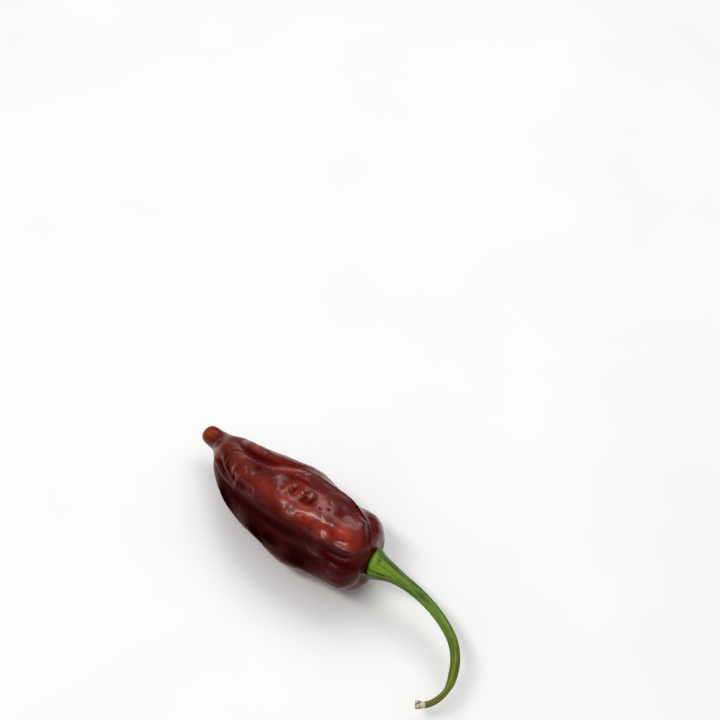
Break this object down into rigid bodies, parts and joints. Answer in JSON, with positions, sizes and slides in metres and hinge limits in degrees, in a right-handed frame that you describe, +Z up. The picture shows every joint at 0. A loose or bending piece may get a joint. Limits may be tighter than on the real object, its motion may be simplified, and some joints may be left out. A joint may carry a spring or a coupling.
{
  "type": "chilli pepper",
  "caption": "Glossy lobed chilli pod with furrows, a crumpled trough, a blunt nub tip, a flared green calyx and a long stem that curves round to its cut end.",
  "frame": {"origin": "under the middle of the bounding box, on the surface that the pepper lies on", "axes": "+Z up, +X from the pod's nub tip towards its stem, -Y the side that the stem curves to"},
  "size_m": [0.111, 0.0352, 0.0277],
  "materials": {
    "pod_skin": "glossy waxy skin",
    "stem_green": "satin plant stem"
  },
  "bodies": {
    "root": {"pod": "pod_skin", "stem": "stem_green"}
  },
  "joints": []
}
